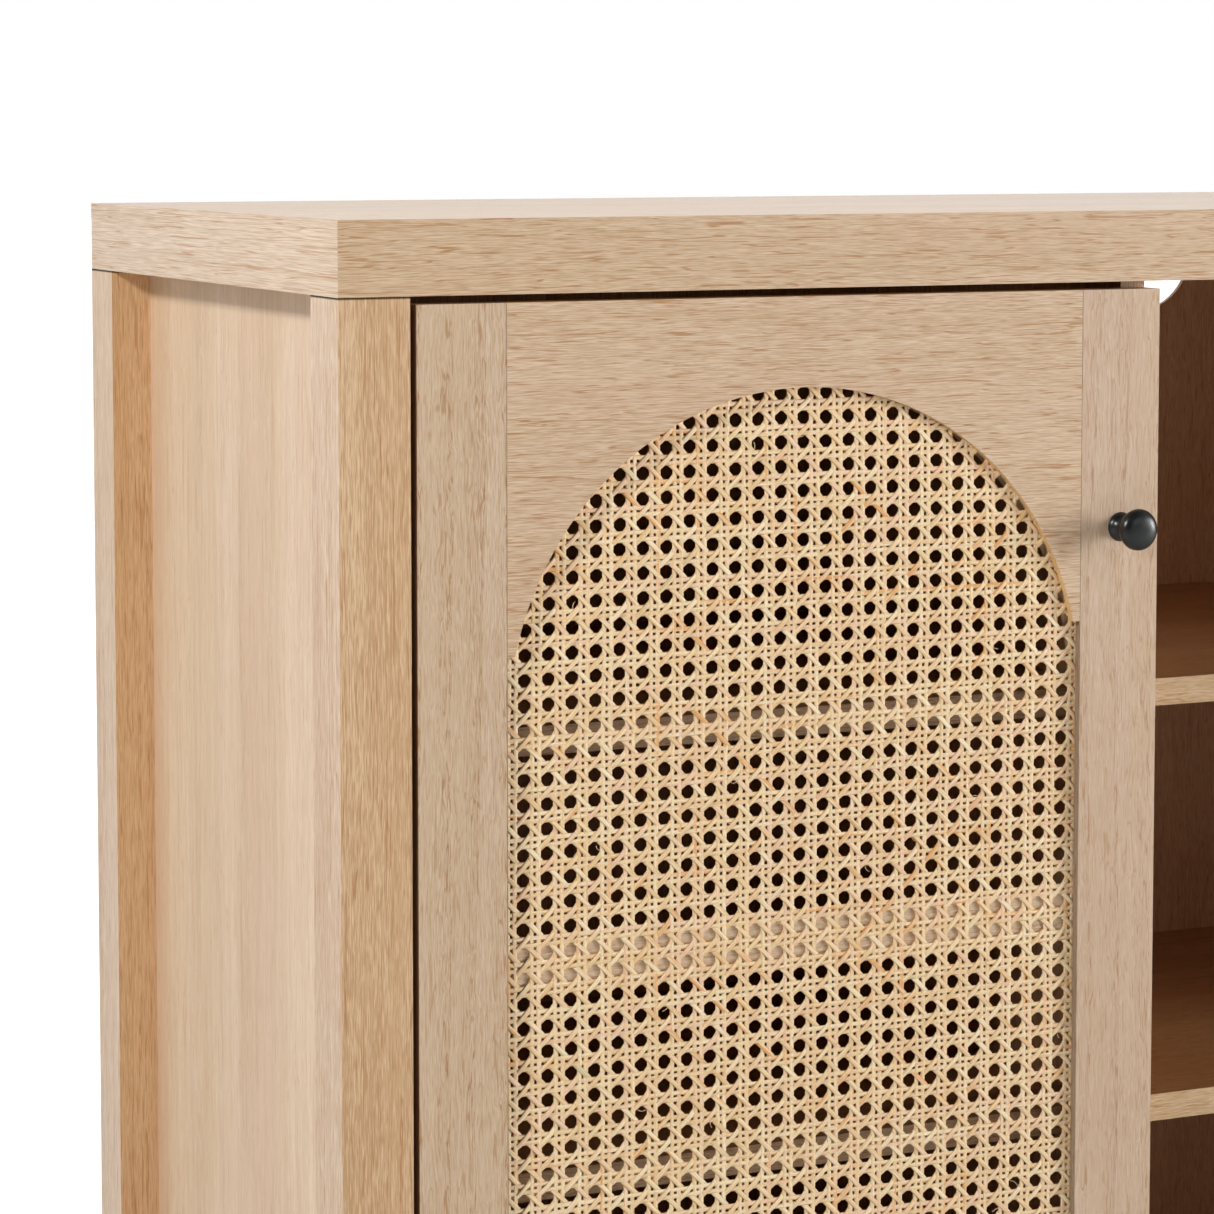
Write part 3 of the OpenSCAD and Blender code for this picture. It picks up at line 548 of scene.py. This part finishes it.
def strand(points, deep, width, rng, number, mid_y, store):
    """Adds one ribbon along points (x, z), at depth deep behind mid_y, as rings of six corners."""
    p = np.asarray(points, float)
    n = len(p)
    if n < 3:
        return
    step = np.gradient(p, axis=0)
    step /= np.linalg.norm(step, axis=1)[:, None] + 1e-12
    side = np.stack([step[:, 1], -step[:, 0]], 1)
    run = np.concatenate([[0], np.cumsum(np.linalg.norm(np.diff(p, axis=0), axis=1))])
    wide = width * (1 + 0.05 * np.sin(run * 70 + rng.uniform(0, 6)) + 0.035 * np.sin(run * 210 + rng.uniform(0, 6)))
    wide = wide * rng.uniform(0.94, 1.05)
    thick = THICK * rng.uniform(0.92, 1.06)
    roll = 0.10 * np.sin(run * 45 + rng.uniform(0, 6)) + rng.uniform(-0.05, 0.05)
    base = sum(len(c) for c in store["co"])
    ring_co, ring_lay = [], []
    off = rng.uniform(0, 40)
    for a, b in RING:
        across = a * wide
        out = b * thick + roll * across * 0.9
        co = np.empty((n, 3))
        co[:, 0] = p[:, 0] + side[:, 0] * across
        co[:, 1] = mid_y + deep - out
        co[:, 2] = p[:, 1] + side[:, 1] * across
        ring_co.append(co)
        lay = np.empty((n, 3))
        lay[:, 0] = run + off
        lay[:, 1] = a * 2 if b >= 0 else a * 2 + 3.0
        lay[:, 2] = number
        ring_lay.append(lay)
    co = np.stack(ring_co, 1).reshape(-1, 3)
    lay = np.stack(ring_lay, 1).reshape(-1, 3)
    i = np.arange(n - 1)[:, None] * 6
    j = np.arange(6)[None, :]
    k = (j + 1) % 6
    q = np.stack([i + j, i + 6 + j, i + 6 + k, i + k], -1).reshape(-1, 4) + base
    caps = []
    for s0, flip in ((0, True), ((n - 1) * 6, False)):
        r = [base + s0 + m for m in range(6)]
        if flip:
            r = r[::-1]
        caps += [[r[0], r[1], r[2], r[3]], [r[0], r[3], r[4], r[5]]]
    store["co"].append(co)
    store["lay"].append(lay)
    store["q"].append(q)
    store["q"].append(np.asarray(caps))


def weave(side):
    rng = random.Random(411 if side == "left" else 977)
    half, cx, foot, arch, y0, y1, grown = window_of(side)
    mid_y = (y0 + y1) / 2
    sgn = 1.0 if side == "left" else -1.0
    # one hole's centre fixes the whole lattice
    hx = cx - sgn * 0.01161
    hz = 0.52913
    m = grown - 0.0006
    x_lo, x_hi = cx - half - m, cx + half + m
    z_lo, z_hi = foot - m, arch + half + m

    def warp(p):
        """Cloth is never quite square: the lattice sways and bows by a few tenths of a millimetre."""
        p = np.asarray(p, float)
        i = (p[:, 0] - hx) / PX
        j = (hz - p[:, 1]) / PZ
        dx = -0.000042 * j * sgn + 0.00040 * np.sin(2 * np.pi * (j + 12) / 23.0)
        dz = 0.00003 * i * sgn - (0.0000034 * (i - 1) ** 2 - 0.0002)
        dx = dx + 0.00008 * np.sin(i * 1.7 + j * 0.9) + 0.00006 * np.sin(j * 2.3 - i * 0.6)
        dz = dz + 0.00008 * np.sin(j * 1.3 + i * 1.1) + 0.00006 * np.sin(i * 2.1 + j * 0.4)
        return np.stack([p[:, 0] + dx, p[:, 1] + dz], 1)

    def inside(p):
        x, z = p[:, 0], p[:, 1]
        ok = (x > x_lo) & (x < x_hi) & (z > z_lo) & (z < z_hi)
        return ok & ((z < arch) | ((x - cx) ** 2 + (z - arch) ** 2 < (half + m) ** 2))

    def lay_down(points, deep, width, number, store):
        p = warp(points)
        wander = 0.00013 * np.sin(np.arange(len(p)) * 0.35 + rng.uniform(0, 6)) + rng.uniform(-0.00010, 0.00010)
        d = np.gradient(p, axis=0)
        d /= np.linalg.norm(d, axis=1)[:, None] + 1e-12
        p = p + np.stack([d[:, 1], -d[:, 0]], 1) * wander[:, None]
        ok = inside(p)
        if ok.sum() < 4:
            return
        a, b = np.argmax(ok), len(ok) - 1 - np.argmax(ok[::-1])
        strand(p[a:b + 1], np.asarray(deep)[a:b + 1], width, rng, number, mid_y, store)

    new = lambda: {"co": [], "lay": [], "q": []}
    up, over, rise, fall = new(), new(), new(), new()
    n_x = int(math.ceil((x_hi - x_lo) / PX)) + 3
    n_z = int(math.ceil((z_hi - z_lo) / PZ)) + 3
    i0 = int(math.floor((x_lo - hx) / PX)) - 1
    j0 = int(math.floor((z_lo - hz) / PZ)) - 1
    fh = GAP_H / 2 / PZ
    fv = GAP_V / 2 / PX
    number = 0
    # uprights: two between neighbouring columns of holes, woven through the crossing pairs
    for i in range(i0, i0 + n_x):
        for q in (-1, 1):
            x = hx + (i + 0.5) * PX + q * GAP_V / 2
            pts, deep = [], []
            for j in range(j0, j0 + n_z):
                for ph, dd in ((0.19, 0.0), (0.5 - fh, q * 1.0), (0.5 + fh, -q * 1.0), (0.81, 0.0)):
                    pts.append((x, hz + (j + ph) * PZ))
                    deep.append(dd * 0.00022)
            number += 1
            lay_down(pts, deep, W_V, number, up)
    # crossing pairs
    for j in range(j0, j0 + n_z):
        for q in (-1, 1):
            z = hz + (j + 0.5) * PZ + q * GAP_H / 2
            pts, deep = [], []
            for i in range(i0, i0 + n_x):
                for ph, dd in ((0.19, 0.0), (0.5 - fv, q * 1.0), (0.5 + fv, -q * 1.0), (0.81, 0.0)):
                    pts.append((hx + (i + ph) * PX, z))
                    deep.append(dd * 0.00022)
            number += 1
            lay_down(pts, deep, W_H, number, over)
    # diagonals: one family rises to the right and lies in front of the crossing pairs, the other in front of the uprights
    wave = ((0.0, 1.0), (0.17, 0.86), (0.33, -0.86), (0.5, -1.0), (0.67, -0.86), (0.83, 0.86))
    lift = 0.00046
    for n in range(-(n_z + 2), n_x + n_z + 2):
        for store, way in ((rise, 1), (fall, -1)):
            pts, deep = [], []
            for i in range(i0, i0 + n_x):
                for ph, dd in wave:
                    xi = i + ph
                    zi = (xi - 0.5 - n - i0 - j0) if way * sgn > 0 else -(xi - 0.5 - n - i0 + j0)
                    if way * sgn < 0:
                        zi = -(xi + 0.5) + n + i0 + j0 + 1
                    pts.append((hx + xi * PX, hz + zi * PZ))
                    deep.append(-dd * lift * way)
            number += 1
            lay_down(pts, deep, W_D, number, store)

    material = cane_material(side + "_door_cane_straw")
    made = []
    for part, store in (("uprights", up), ("crossings", over), ("rising", rise), ("falling", fall)):
        o = mesh_object(f"{side}_door_cane_{part}", np.concatenate(store["co"]), np.concatenate(store["q"]), material,
                        lay=np.concatenate(store["lay"]))
        made.append(o)
    # stray fibres that curl into the holes
    hair = new()
    for k in range(34):
        i = rng.randrange(i0 + 2, i0 + n_x - 2)
        j = rng.randrange(j0 + 2, j0 + n_z - 2)
        c = np.array([hx + i * PX, hz + j * PZ])
        if not inside(np.array([c]))[0]:
            continue
        a0 = rng.uniform(0, 2 * math.pi)
        bend = rng.uniform(0.5, 1.6) * rng.choice((-1, 1))
        length = rng.uniform(0.003, 0.0062)
        start = c + 0.0036 * np.array([math.cos(a0), math.sin(a0)])
        ang = a0 + math.pi + rng.uniform(-0.7, 0.7)
        pts, p = [], start
        for s in range(9):
            pts.append(tuple(p))
            ang += bend / 8
            p = p + length / 8 * np.array([math.cos(ang), math.sin(ang)])
        number += 1
        strand(pts, np.full(9, rng.uniform(-0.0006, 0.0004)), 0.00030, rng, number, mid_y, hair)
    made.append(mesh_object(f"{side}_door_cane_fibres", np.concatenate(hair["co"]), np.concatenate(hair["q"]), material,
                            lay=np.concatenate(hair["lay"])))
    for o in made:
        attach(o, side + "_door")
    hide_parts(side + "_door_cane")
    return made


# ---------------------------------------------------------------- turned pulls
def pull(side):
    lo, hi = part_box(side + "_door_pull")
    x, z = (lo.x + hi.x) / 2, (lo.z + hi.z) / 2
    r, out, root = (hi.x - lo.x) / 2, hi.y - lo.y, hi.y
    # radius and height above the door, as shares of the head's radius and of the reach
    key = [(0.0, 0.0), (0.655, 0.0), (0.672, 0.010), (0.676, 0.030), (0.660, 0.056), (0.610, 0.088), (0.520, 0.135),
           (0.440, 0.200), (0.408, 0.280), (0.412, 0.370), (0.450, 0.455), (0.540, 0.535), (0.680, 0.598),
           (0.840, 0.640), (0.940, 0.672), (0.985, 0.710), (1.000, 0.755), (0.992, 0.800), (0.955, 0.848),
           (0.870, 0.900), (0.740, 0.944), (0.560, 0.976), (0.340, 0.994), (0.120, 1.0), (0.0, 1.0)]
    fine = []
    for i in range(len(key) - 1):
        p0 = np.array(key[max(i - 1, 0)]); p1 = np.array(key[i]); p2 = np.array(key[i + 1]); p3 = np.array(key[min(i + 2, len(key) - 1)])
        steps = 1 if i == 0 else 3
        for s in range(steps):
            u = s / steps
            q = 0.5 * ((2 * p1) + (-p0 + p2) * u + (2 * p0 - 5 * p1 + 4 * p2 - p3) * u * u + (-p0 + 3 * p1 - 3 * p2 + p3) * u ** 3)
            fine.append((max(q[0], 0.0), min(max(q[1], 0.0), 1.0)))
    fine.append(key[-1])
    prof = [p for p in fine if p[0] > 1e-4]
    seg = 96
    co = [(x, root, z)]
    for a, h in prof:
        for s in range(seg):
            t = 2 * math.pi * s / seg
            co.append((x + a * r * math.cos(t), root - h * out, z + a * r * math.sin(t)))
    co.append((x, root - out, z))
    quads = []
    for k in range(len(prof) - 1):
        for s in range(seg):
            s2 = (s + 1) % seg
            quads.append((1 + k * seg + s, 1 + k * seg + s2, 1 + (k + 1) * seg + s2, 1 + (k + 1) * seg + s))
    me = bpy.data.meshes.new(side + "_door_pull_turned")
    tris = [(0, 1 + (s + 1) % seg, 1 + s) for s in range(seg)]
    last = 1 + (len(prof) - 1) * seg
    tip = len(co) - 1
    tris += [(tip, last + s, last + (s + 1) % seg) for s in range(seg)]
    me.from_pydata(co, [], quads + tris)
    me.update()
    for p in me.polygons:
        p.use_smooth = True
    me.materials.append(BLACK)
    o = bpy.data.objects.new(side + "_door_pull_turned", me)
    scene.collection.objects.link(o)
    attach(o, side + "_door")
    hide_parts(side + "_door_pull")
    return o


for side in ("left", "right"):
    weave(side)
    pull(side)


# ---------------------------------------------------------------- floor, light and camera
def ground():
    t = Tree("studio_floor")
    at = t.here()
    lo, hi = cad_lo, cad_hi
    s = t.node("ShaderNodeSeparateXYZ")
    t.link(at, s.inputs[0])
    # distance outside the cabinet's footprint
    dx = t.math("MAXIMUM", t.math("SUBTRACT", t.math("ABSOLUTE", s.outputs["X"]), hi.x), 0.0)
    dy = t.math("MAXIMUM", t.math("SUBTRACT", t.math("ABSOLUTE", s.outputs["Y"]), hi.y), 0.0)
    d = t.math("SQRT", t.math("ADD", t.math("MULTIPLY", dx, dx), t.math("MULTIPLY", dy, dy)))
    glow = t.span(d, 0.10, 1.10, 0.0, 1.0)
    seen = t.node("ShaderNodeLightPath").outputs["Is Camera Ray"]
    speck = t.noise(at, (40, 40, 40), 3, 0.5)
    diff = t.node("ShaderNodeBsdfDiffuse")
    t.link(t.mix(speck, (0.73, 0.73, 0.725), (0.77, 0.77, 0.765)), diff.inputs["Color"])
    em = t.node("ShaderNodeEmission")
    em.inputs["Color"].default_value = (1, 1, 1, 1)
    t.link(t.math("MULTIPLY", glow, seen), em.inputs["Strength"])
    add = t.node("ShaderNodeAddShader")
    t.nt.links.new(diff.outputs[0], add.inputs[0])
    t.nt.links.new(em.outputs[0], add.inputs[1])
    out = t.node("ShaderNodeOutputMaterial")
    t.nt.links.new(add.outputs[0], out.inputs[0])
    n, seg = 14, 64
    co, faces = [(0, 0, 0)], []
    for i in range(1, n + 1):
        r = 30.0 * (i / n) ** 2
        for k in range(seg):
            a = 2 * math.pi * k / seg
            co.append((r * math.cos(a), r * math.sin(a), 0))
    for k in range(seg):
        faces.append((0, 1 + k, 1 + (k + 1) % seg))
    for i in range(n - 1):
        for k in range(seg):
            a, b = 1 + i * seg + k, 1 + i * seg + (k + 1) % seg
            faces.append((a, a + seg, b + seg, b))
    me = bpy.data.meshes.new("studio_floor")
    me.from_pydata(co, [], faces)
    me.update()
    me.materials.append(t.mat)
    o = bpy.data.objects.new("studio_floor", me)
    scene.collection.objects.link(o)
    return o


ground()


def sky():
    w = bpy.data.worlds.new("studio")
    scene.world = w
    t = Tree("", world=w)
    d = t.node("ShaderNodeTexCoord").outputs["Generated"]
    s = t.node("ShaderNodeSeparateXYZ")
    t.link(d, s.inputs[0])
    x, y = s.outputs[0], s.outputs[1]
    # a lit backdrop behind the cabinet and a reflector wall on its right
    back = t.span(y, 0.0, 0.6, 0.0, 1.0)
    right = t.span(x, 0.0, 0.8, 0.0, 1.0)
    v = t.math("MULTIPLY_ADD", back, WORLD["back"], WORLD["base"])
    v = t.math("MULTIPLY_ADD", right, WORLD["right"], v)
    seen = t.node("ShaderNodeLightPath").outputs["Is Camera Ray"]
    v = t.math("ADD", t.math("MULTIPLY", t.math("SUBTRACT", 1.0, seen), v), t.math("MULTIPLY", seen, 1.0))
    bg = t.node("ShaderNodeBackground")
    bg.inputs["Color"].default_value = (1, 1, 1, 1)
    t.link(v, bg.inputs["Strength"])
    out = t.node("ShaderNodeOutputWorld")
    t.nt.links.new(bg.outputs[0], out.inputs[0])


WORLD = {"base": 0.0, "back": 1.255, "right": 0.407}
sky()


def softbox(name, place, aim, width, height, power, colour=(1, 1, 1)):
    li = bpy.data.lights.new(name, "AREA")
    li.shape = "RECTANGLE"
    li.size, li.size_y = width, height
    li.energy = power
    li.color = colour
    o = bpy.data.objects.new(name, li)
    o.location = place
    o.rotation_mode = "QUATERNION"
    o.rotation_quaternion = (Vector(aim) - Vector(place)).to_track_quat("-Z", "Y")
    scene.collection.objects.link(o)
    return o


softbox("softbox_left", (-2.6, -0.9, 2.0), (-0.7, 0.0, 0.5), 0.34, 0.34, 45)
softbox("softbox_right", (3.5, -2.1, 1.0), (0.1, -0.2, 0.42), 1.3, 1.3, 109)
softbox("softbox_front_right", (2.6, -2.7, 1.1), (0.0, -0.2, 0.42), 1.3, 1.3, 11)
softbox("softbox_front", (0.4, -3.6, 1.7), (0.0, -0.2, 0.45), 1.6, 1.4, 7.5)

cam = bpy.data.cameras.new("camera")
cam.lens = 114.38
cam.sensor_width = 36.0
cam.shift_x = 0.0
cam.shift_y = -0.15
cam.clip_start, cam.clip_end = 0.05, 120.0
eye = bpy.data.objects.new("camera", cam)
eye.location = (-1.3766, -1.9491, 0.851)
eye.rotation_euler = (math.radians(90 - 4.594), 0.0, math.radians(-24.875))
scene.collection.objects.link(eye)
scene.camera = eye

scene.view_settings.view_transform = "Standard"
scene.view_settings.look = "None"
scene.view_settings.exposure = 0.0
scene.view_settings.gamma = 1.0
scene.cycles.max_bounces = 10
scene.cycles.diffuse_bounces = 6
scene.cycles.glossy_bounces = 4
